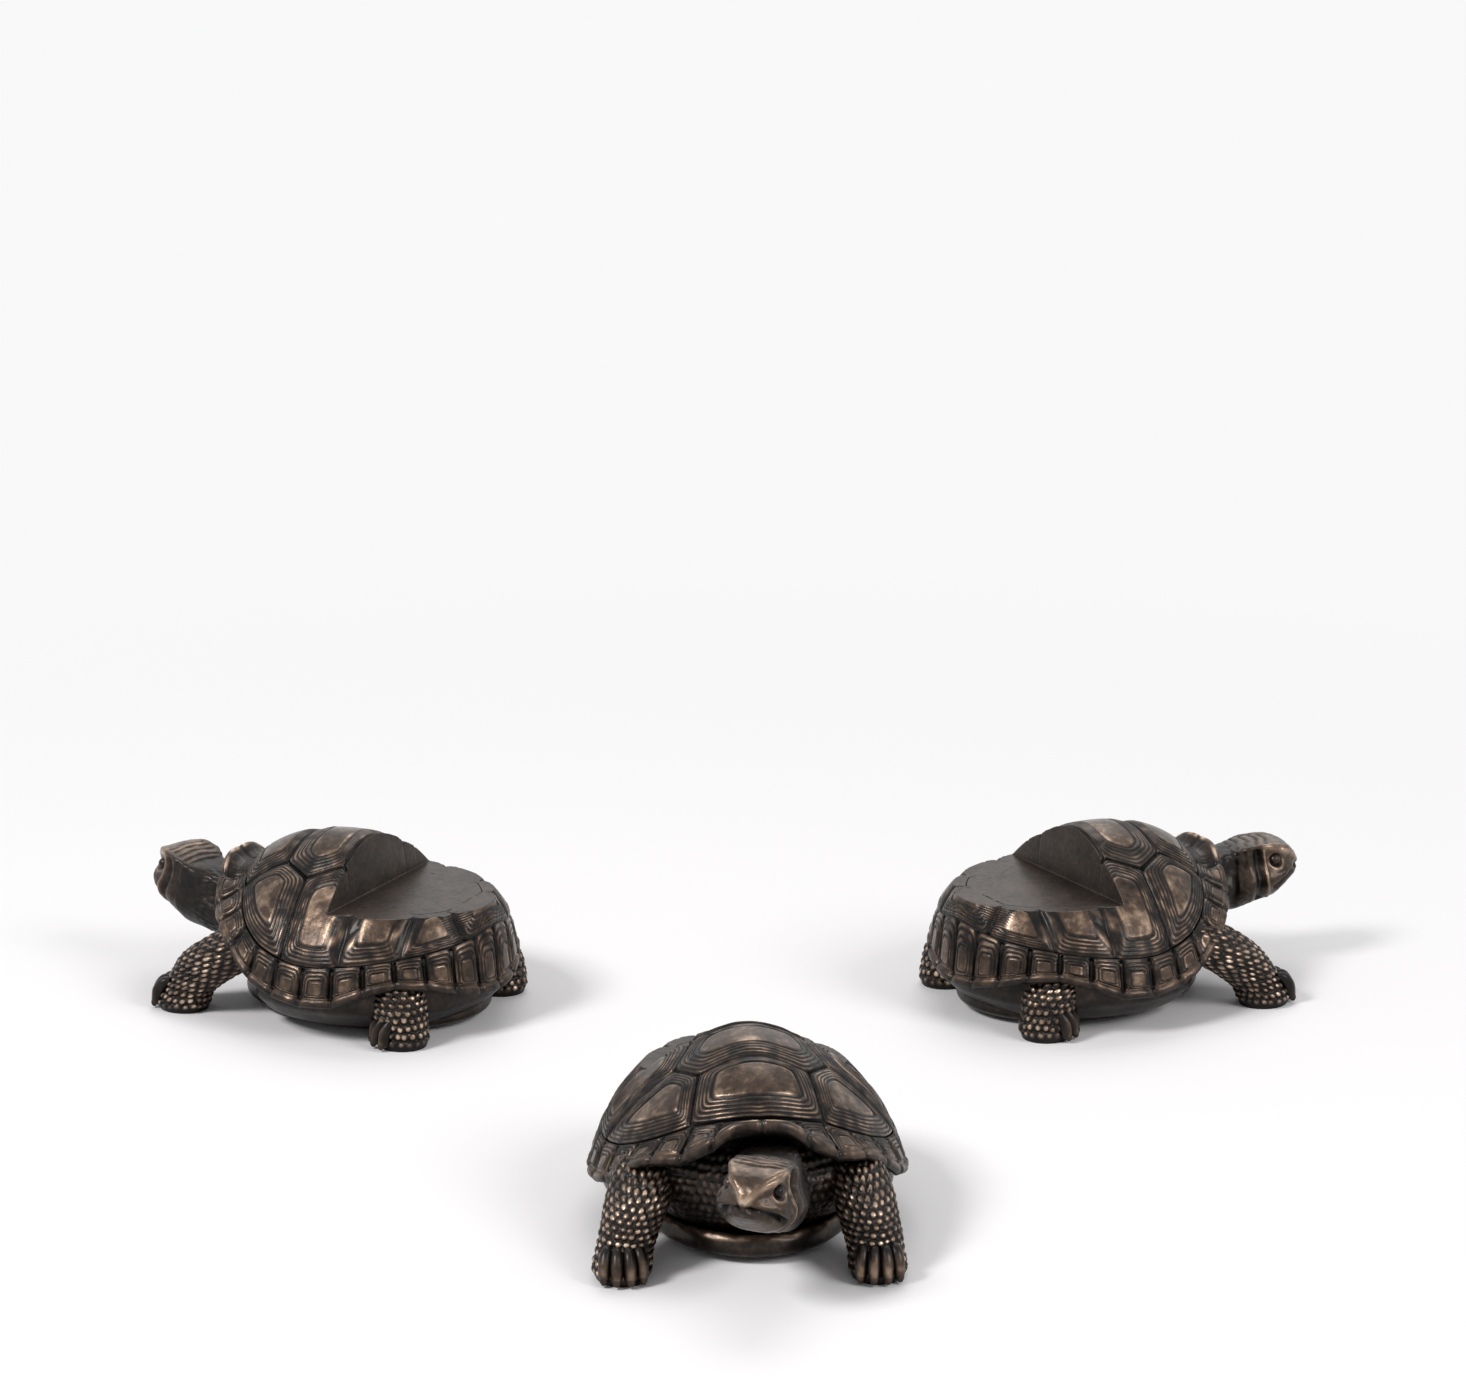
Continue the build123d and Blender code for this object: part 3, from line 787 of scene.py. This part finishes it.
def toe_forms(paw, angle, reach, arc_angle):
    """The toes of a paw and their claws, each set on an arc round its front and turned a little outwards."""
    forms = []
    for index in range(toe_count):
        turn = arc_angle * (2 * index / (toe_count - 1) - 1)
        out, heading = np.radians(angle + turn), np.radians(angle + turn * toe_turn_share)
        foot = np.array((paw[0] + reach * np.cos(out), paw[1] + reach * np.sin(out), 0))
        for path, radii, flatten, highlight_and_rub in (
                (toe_path, toe_radii, 0.9, 0.5), (claw_path, claw_radii, 1.0, 0.3)):
            local = tube(path, radii, toe_rows, toe_columns, flatten)
            grid = set_down(local, foot, heading)
            grid[..., 2] = np.maximum(grid[..., 2], 0)
            # Toes and claws are lighter along their fronts: partly rubbed metal, partly a painted highlight
            # where light catches their fronts.
            front = fade(local[..., 0], -0.2, 2.0) * (1 - 0.6 * fade(np.abs(local[..., 1]), 0.3, 1.1))
            wear = 0.04 + highlight_and_rub * front * (0.3 + 1.1 * mottle(grid, 1.6, 71))
            forms.append(form(grid, np.clip(wear, 0, 1)))
    return forms


def leg_forms():
    """Names and forms of the four legs."""
    made = {}
    for side, sign, seed in (("left", 1, 101), ("right", -1, 131)):
        made[f"front_{side}_leg"] = [
            leg_form(front_paws[side], front_shoulders[side], front_leg_height, front_leg_half_length,
                     front_leg_half_width, front_leg_stations, 126, 216, 22, seed)
        ] + toe_forms(front_paws[side], 0, front_toe_reach, front_toe_arc_angle)
        made[f"rear_{side}_leg"] = [
            leg_form(rear_paws[side], rear_shoulders[side], rear_leg_height, rear_leg_half_length,
                     rear_leg_half_width, rear_leg_stations, 84, 176, 20, seed + 50)
        ] + toe_forms(rear_paws[side], sign * rear_toe_angle, rear_toe_reach, rear_toe_arc_angle)
    return made


# ---- Head

jaw_corners = ((0.42, -1.0), (0.84, -0.66), (1.0, -0.2))
ledge_height, brow_height, brow_ledge = 0.36, 0.80, 0.07
head_stations = (
    (-0.44, 0.92, -1.42, 0.70, 0.74, 0.50), (-0.26, 0.97, -1.33, 0.80, 0.74, 0.54),
    (-0.08, 1.00, -1.21, 0.88, 0.74, 0.58), (0.12, 0.99, -1.08, 0.92, 0.72, 0.58),
    (0.30, 0.97, -0.98, 0.94, 0.69, 0.56), (0.47, 0.92, -0.86, 0.92, 0.64, 0.53),
    (0.62, 0.82, -0.64, 0.86, 0.58, 0.47), (0.74, 0.67, -0.46, 0.75, 0.52, 0.40),
    (0.85, 0.50, -0.30, 0.60, 0.45, 0.32), (0.92, 0.33, -0.18, 0.43, 0.38, 0.26),
    (0.96, 0.15, -0.04, 0.24, 0.35, 0.25),
)
brow_line = [
    (-2.5, 5.7, 4.6), (1.4, 5.7, 5.5), (3.6, 5.2, 5.6), (5.4, 4.6, 5.2), (7.2, 3.5, 4.6), (8.6, 2.4, 3.9),
    (9.8, 1.3, 3.0), (10.7, 0.5, 1.9), (11.1, 0.0, 1.0),
]
mouth_line = [
    (11.5, 0.0, 0.45), (11.0, 1.6, 0.4), (10.0, 2.9, 0.1), (8.8, 4.2, -0.6), (7.4, 5.4, -1.7),
    (5.7, 6.4, -3.3),
]
neck_brow_share = 0.74
neck_crown_share = 0.45
lip_rise = 1.0
eye_place = (5.5, 5.5, 2.6)
eye_sink = (0.35, 0.85, 0.05)
eye_size = 1.25
eye_ring = 1.95
furrows = (-4.6, -2.6, -0.6, 1.6, 3.6)


def head_axes():
    """The head's own directions as rows: forward, left and up, turned and then tilted."""
    turn, tilt = np.radians(head_turn_angle), np.radians(head_tilt_angle)
    about_z = np.array(((np.cos(turn), -np.sin(turn), 0), (np.sin(turn), np.cos(turn), 0), (0, 0, 1)))
    about_x = np.array(((1, 0, 0), (0, np.cos(tilt), -np.sin(tilt)), (0, np.sin(tilt), np.cos(tilt))))
    return (about_z @ about_x).T


def head_ring(along, half_width, low, high, brow, crown):
    """Corners of a neck or head section: round jaw, a ledge under the brow and a flat crown."""
    middle = (low + high) / 2
    shares = np.array(jaw_corners + ((brow + brow_ledge, ledge_height), (brow, brow_height), (crown, 1.0)))
    across, up = half_width * shares[:, 0], middle + (high - middle) * shares[:, 1]
    half = np.stack([np.full(len(shares), along), across, up], -1)
    return np.concatenate([half, half[::-1] * np.array((1, -1, 1))])


def head_form():
    """Neck and head in one skin, with brow ridges, furrows, sockets, the mouth and the folds of the cheek.

    The fine forms are worked out in the head's own directions from the distance to short routes drawn on the
    face, and move the skin along its normal: ridges up, grooves down."""
    axes = head_axes()
    rings = []
    for place in (neck_root, neck_bend):
        ring = head_ring(
            0, neck_half_width, -neck_half_height, neck_half_height, neck_brow_share, neck_crown_share)
        rings.append(ring + np.array(place))
    for along, width, low, high, brow, crown in head_stations:
        ring = head_ring(head_half_length * along, head_half_width * width, head_half_height * low,
                         head_half_height * high, brow, crown)
        rings.append(ring @ axes + np.array(head_centre))
    grid = skin(rings, 212, 212)
    normal = outward(grid)
    local = (grid - np.array(head_centre)) @ axes.T
    x, y, z = local[..., 0], local[..., 1], local[..., 2]
    folded = np.stack([x, np.abs(y), z], -1)
    brow = near_route(folded, brow_line)
    mouth = near_route(folded, mouth_line)
    lip = near_route(folded, np.array(mouth_line) + np.array((0, 0, lip_rise)))
    eye = np.linalg.norm((folded - np.array(eye_place)) * np.array((1.0, 1.0, 1.1)), axis=-1)
    face = fade(x, -1.5, 1.5)
    side = fade(np.abs(y), 3.6, 4.8) * (1 - fade(z, 4.6, 5.8))
    top = fade(z, 3.6, 5.2) * (1 - fade(np.abs(y), 3.9, 5.2)) * (1 - fade(x, 6.0, 8.0))
    bright_brow = bell(brow, 0.95) * fade(x, 1.0, 4.0) * (0.35 + 0.9 * mottle(local, 1.8, 99))
    ridge = bell(brow, 0.95) * (0.22 + 0.24 * fade(x, -1.5, 2.5) - 0.4 * fade(x, 8.0, 10.2))
    socket = 0.17 * bell(eye - eye_ring, 0.36) - 0.62 * bell(eye, 1.35)
    open_share = fade(np.abs(y), 0.3, 1.6)
    slit = -(0.4 + 1.35 * open_share) * bell(mouth, 0.42 + 0.4 * open_share)
    upper_lip = 0.34 * bell(lip, 0.42) * (1 - 0.9 * fade(x, 9.4, 10.6))
    wave = x + 0.1 * z + 0.9 * (mottle(local, 5.0, 95) - 0.5)
    folds = 0.36 * bell(wave - 2.9, 0.5) - 0.8 * bell(wave - 1.2, 0.9)
    folds = folds + 0.22 * bell(wave + 0.9, 0.6) * fade(z, -1.5, 1.5)
    folds = folds * side * fade(eye, 1.9, 2.9)
    bent = 0.8 * (mottle(local, 3.0, 83) - 0.5)
    lines = sum(bell(x - place + 0.03 * y ** 2 + bent, 0.42) for place in furrows)
    crease = -0.36 * lines * top
    gap = 1.5
    around = 30
    turn = np.linspace(0, around, grid.shape[1], endpoint=False)
    stud = studs(run_length(grid) / gap, turn, gap, gap, 87, around) * fade(-x, 7.5, 10.5)
    rough = 0.30 * (mottle(local, 1.5, 89) - 0.5) * fade(z, -2.0, 1.0) + 0.12 * (mottle(local, 0.8, 91) - 0.5)
    relief = ridge + socket + slit + upper_lip + folds + crease + 0.3 * stud + rough * fade(x, -9.0, -5.0)
    grid = grid + relief[..., None] * normal
    wear = 0.08 + 0.32 * rubbed(relief, 0.22, 10) * fade(x, -6.0, -1.0) + 0.42 * bright_brow
    wear += 0.3 * top * mottle(local, 2.4, 93) + 0.3 * bell(lip, 0.45)
    # The eye ring is lighter only on its lower half: a painted highlight on the lower lid, with the upper lid
    # left dark as painted shade under the brow.
    wear += 0.28 * bell(eye - eye_ring, 0.3) * fade(eye_place[2] - z, -0.6, 0.9)
    wear += 0.3 * bell(wave - 2.9, 0.4) * side + 0.25 * bell(brow, 0.9) * fade(x, 9.0, 10.5)
    wear += 0.35 * stud ** 3 + 0.12 * face * mottle(local, 1.6, 97)
    wear *= (1 - 0.99 * bell(mouth, 0.95)) * (1 - 0.55 * lines * top) * (1 - 0.7 * bell(eye, 1.35))
    wear *= 1 - 0.85 * side * bell(wave - 1.2, 1.0) * fade(eye, 1.9, 2.9)
    wear *= 0.4 + 0.6 * fade(x, -9.0, -1.0)
    return form(grid, np.clip(wear, 0, 1), 0.4 * fade(-z, 1.5, 4.0) * face)


def eye_forms():
    """The two eyeballs: small balls sunk in their sockets."""
    axes = head_axes()
    rise = np.linspace(-np.pi / 2, np.pi / 2, 22)[1:-1, None]
    turn = circle(36)
    ball = np.stack(np.broadcast_arrays(
        np.cos(rise) * np.cos(turn), np.cos(rise) * np.sin(turn), np.sin(rise)), -1)
    forms = []
    for side in (1, -1):
        place = (np.array(eye_place) - np.array(eye_sink)) * np.array((1, side, 1))
        local = place + eye_size * ball
        forms.append(form(local @ axes + np.array(head_centre), 0.16, 1.0))
    return forms


# ---- Finish

def set_inputs(node, values):
    """Sets a node's inputs by name."""
    for name, value in values.items():
        node.inputs[name].default_value = value


def aged_bronze():
    """Aged bronze: nearly black in the hollows, brown metal on the faces and bare warm metal where rubbed.

    The wear kept on each point, which on the side scutes, the toe fronts and the eye rings also carries
    painted highlight and painted shade, is broken up by two sizes of noise and read off a ramp for colour and
    one for roughness; polished middles get a mottled bloom, and a fine grain gives the cast surface."""
    material = bpy.data.materials.new("aged_bronze")
    material.use_nodes = True
    nodes, links = material.node_tree.nodes, material.node_tree.links
    shader = nodes["Principled BSDF"]
    set_inputs(shader, {
        "Metallic": 0.86, "Specular IOR Level": 0.5, "Coat Weight": 0.25, "Coat Roughness": 0.25,
    })

    def node(kind, **settings):
        made = nodes.new(kind)
        for name, value in settings.items():
            setattr(made, name, value)
        return made

    def noise(scale, detail):
        made = node("ShaderNodeTexNoise")
        set_inputs(made, {"Scale": scale, "Detail": detail})
        links.new(place.outputs["Object"], made.inputs["Vector"])
        return made.outputs["Fac"]

    def sum_of(first, second, operation="ADD"):
        made = node("ShaderNodeMath", operation=operation)
        for socket, value in zip(made.inputs, (first, second)):
            if isinstance(value, (int, float)):
                socket.default_value = value
            else:
                links.new(value, socket)
        return made.outputs[0]

    def ramp(source, stops):
        made = node("ShaderNodeValToRGB")
        points = made.color_ramp.elements
        while len(points) < len(stops):
            points.new(0.5)
        for point, (position, colour) in zip(points, stops):
            point.position = position
            point.color = tuple(colour) + (1,)
        links.new(source, made.inputs["Fac"])
        return made.outputs["Color"]

    def cloud(scale, detail, size):
        return sum_of(sum_of(noise(scale, detail), 0.5, "SUBTRACT"), size, "MULTIPLY")

    place = node("ShaderNodeTexCoord")
    wear = node("ShaderNodeAttribute", attribute_name="wear").outputs["Fac"]
    polish = node("ShaderNodeAttribute", attribute_name="polish").outputs["Fac"]
    rubbed_and_painted_light_share = sum_of(sum_of(wear, cloud(170, 4, 0.34)), cloud(900, 3, 0.30))
    bloom = sum_of(cloud(420, 5, 0.9), polish, "MULTIPLY")
    tone = ramp(sum_of(rubbed_and_painted_light_share, bloom), (
        (0.0, (0.0035, 0.0026, 0.0022)), (0.16, (0.016, 0.0107, 0.0077)), (0.42, (0.068, 0.043, 0.029)),
        (0.68, (0.24, 0.165, 0.114)), (0.95, (0.62, 0.485, 0.37)),
    ))
    links.new(tone, shader.inputs["Base Color"])
    dull = ramp(sum_of(rubbed_and_painted_light_share, sum_of(polish, 0.3, "MULTIPLY")), (
        (0.0, (0.56,) * 3), (0.35, (0.42,) * 3), (0.9, (0.29,) * 3),
    ))
    links.new(dull, shader.inputs["Roughness"])
    grain = node("ShaderNodeBump")
    set_inputs(grain, {"Strength": 0.22, "Distance": 0.00022})
    links.new(sum_of(noise(1500, 4), sum_of(noise(520, 3), 0.8, "MULTIPLY")), grain.inputs["Height"])
    links.new(grain.outputs["Normal"], shader.inputs["Normal"])
    return material


# ---- The three feet

def foot_places():
    """Where each foot stands and its heading, solved from its mounts: the step's middle and the left sole."""
    mounts = {mount["name"]: np.array(mount["pos_m"]) / millimetre for mount in frame["record"]["mounts"]}
    step = np.array((wall_shift - step_mount_setback, 0))
    sole = np.array((front_paws["left"][0] - sole_mount_setback, front_paws["left"][1]))
    bearing = np.arctan2(*(sole - step)[::-1])
    places = {}
    for side in ("front", "left", "right"):
        stretch = mounts[f"{side}_sole"] - mounts[f"{side}_step"]
        heading = np.arctan2(stretch[1], stretch[0]) - bearing
        turned = np.array((np.cos(heading) * step[0], np.sin(heading) * step[0], 0))
        origin = mounts[f"{side}_step"] * np.array((1, 1, 0)) - turned
        places[side] = (origin, heading)
    return places


def build_feet():
    """Every piece of a foot, made once and set down three times on the castings that it stands for."""
    forms = {
        "shell": [shell_form()], "rim": [rim_form()], "belly_plate": [belly_form()],
        "bridge": [bridge_form()], "neck_skin": [neck_skin_form()], "head": [head_form()],
        "eyes": eye_forms(),
    }
    forms.update(leg_forms())
    bronze = aged_bronze()
    places = foot_places()
    for part, its_forms in forms.items():
        data = joined(its_forms)
        for side, place in places.items():
            piece = make_piece(f"{side}_foot_{part}", data, place, bronze)
            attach(piece, "root")
            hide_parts(f"{side}_tortoise_foot")
    return places


# ---- Floor, light and camera

ring_distance = 83.8
ring_bearing = 2.0
camera_distance = 945.2
camera_height = 346.9
camera_pitch_angle = 15.72
camera_lens = 116.47
backdrop_white = (0.945, 0.945, 0.95, 1)


def ring_axis(places):
    """The ring's middle on the floor, from the front foot's place."""
    bearing = np.radians(ring_bearing)
    return places["front"][0] - ring_distance * np.array((np.sin(bearing), -np.cos(bearing), 0))


def white_rays(nodes, links):
    """A socket that is 1 for rays that see the white backdrop: the camera's, mirrored and transmitted."""
    path = nodes.new("ShaderNodeLightPath")
    socket = path.outputs["Is Camera Ray"]
    for name in ("Is Glossy Ray", "Is Transmission Ray"):
        either = nodes.new("ShaderNodeMath")
        either.operation = "MAXIMUM"
        links.new(socket, either.inputs[0])
        links.new(path.outputs[name], either.inputs[1])
        socket = either.outputs[0]
    return socket


def floor():
    """A wide pale floor that grows whiter away from the feet."""
    mesh = bpy.data.meshes.new("floor")
    half = 6.0
    corners = [(-half, -half, 0), (half, -half, 0), (half, half, 0), (-half, half, 0)]
    mesh.from_pydata(corners, [], [(0, 1, 2, 3)])
    ground = put("floor", mesh)
    material = bpy.data.materials.new("pale_floor")
    material.use_nodes = True
    nodes, links = material.node_tree.nodes, material.node_tree.links
    shader = nodes["Principled BSDF"]
    set_inputs(shader, {
        "Roughness": 0.7, "Specular IOR Level": 0.25, "Base Color": (0.86, 0.845, 0.845, 1),
    })
    place = nodes.new("ShaderNodeTexCoord")
    far = nodes.new("ShaderNodeVectorMath")
    far.operation = "LENGTH"
    links.new(place.outputs["Object"], far.inputs[0])
    fading = nodes.new("ShaderNodeMapRange")
    set_inputs(fading, {"From Min": 0.13, "From Max": 0.45})
    links.new(far.outputs["Value"], fading.inputs["Value"])
    seen = nodes.new("ShaderNodeMath")
    seen.operation = "MULTIPLY"
    links.new(fading.outputs["Result"], seen.inputs[0])
    links.new(white_rays(nodes, links), seen.inputs[1])
    white = nodes.new("ShaderNodeEmission")
    set_inputs(white, {"Color": backdrop_white})
    blend = nodes.new("ShaderNodeMixShader")
    links.new(seen.outputs[0], blend.inputs["Fac"])
    links.new(shader.outputs["BSDF"], blend.inputs[1])
    links.new(white.outputs["Emission"], blend.inputs[2])
    links.new(blend.outputs["Shader"], nodes["Material Output"].inputs["Surface"])
    mesh.materials.append(material)


def lamp(name, place, target, size, power):
    """A soft square lamp that faces a target."""
    light = bpy.data.lights.new(name, "AREA")
    light.shape, light.size, light.energy = "SQUARE", size, power
    stand = put(name, light)
    stand.location = place
    stand.rotation_euler = (Vector(target) - Vector(place)).to_track_quat("-Z", "Y").to_euler()


def light_room():
    """Pale surroundings and soft lamps; the camera and reflections see the surroundings white."""
    world = bpy.data.worlds.new("pale_room")
    bpy.context.scene.world = world
    world.use_nodes = True
    nodes, links = world.node_tree.nodes, world.node_tree.links
    background = nodes["Background"]
    shade = nodes.new("ShaderNodeMix")
    shade.data_type = "RGBA"
    set_inputs(shade, {"A": (0.34, 0.34, 0.35, 1), "B": backdrop_white})
    links.new(white_rays(nodes, links), shade.inputs["Factor"])
    links.new(shade.outputs["Result"], background.inputs["Color"])
    lamp("key_lamp", (-0.85, -0.5, 1.0), (0, -0.02, 0), 0.35, 12)
    lamp("fill_lamp", (0.95, -0.6, 0.8), (0, 0, 0), 0.6, 8)
    lamp("back_lamp", (0.1, 0.9, 1.2), (0, 0, 0), 0.9, 6)


def camera(axis):
    """The camera: straight ahead of the ring, looking down on it."""
    lens = bpy.data.cameras.new("camera")
    lens.sensor_width = 36.0
    lens.lens = camera_lens
    lens.clip_end = 50.0
    stand = put("camera", lens)
    stand.location = (axis + np.array((0, -camera_distance, camera_height))) * millimetre
    stand.rotation_euler = (np.radians(90 - camera_pitch_angle), 0, 0)
    bpy.context.scene.camera = stand


places = build_feet()
floor()
light_room()
camera(ring_axis(places))
bpy.context.scene.view_settings.view_transform = "Standard"
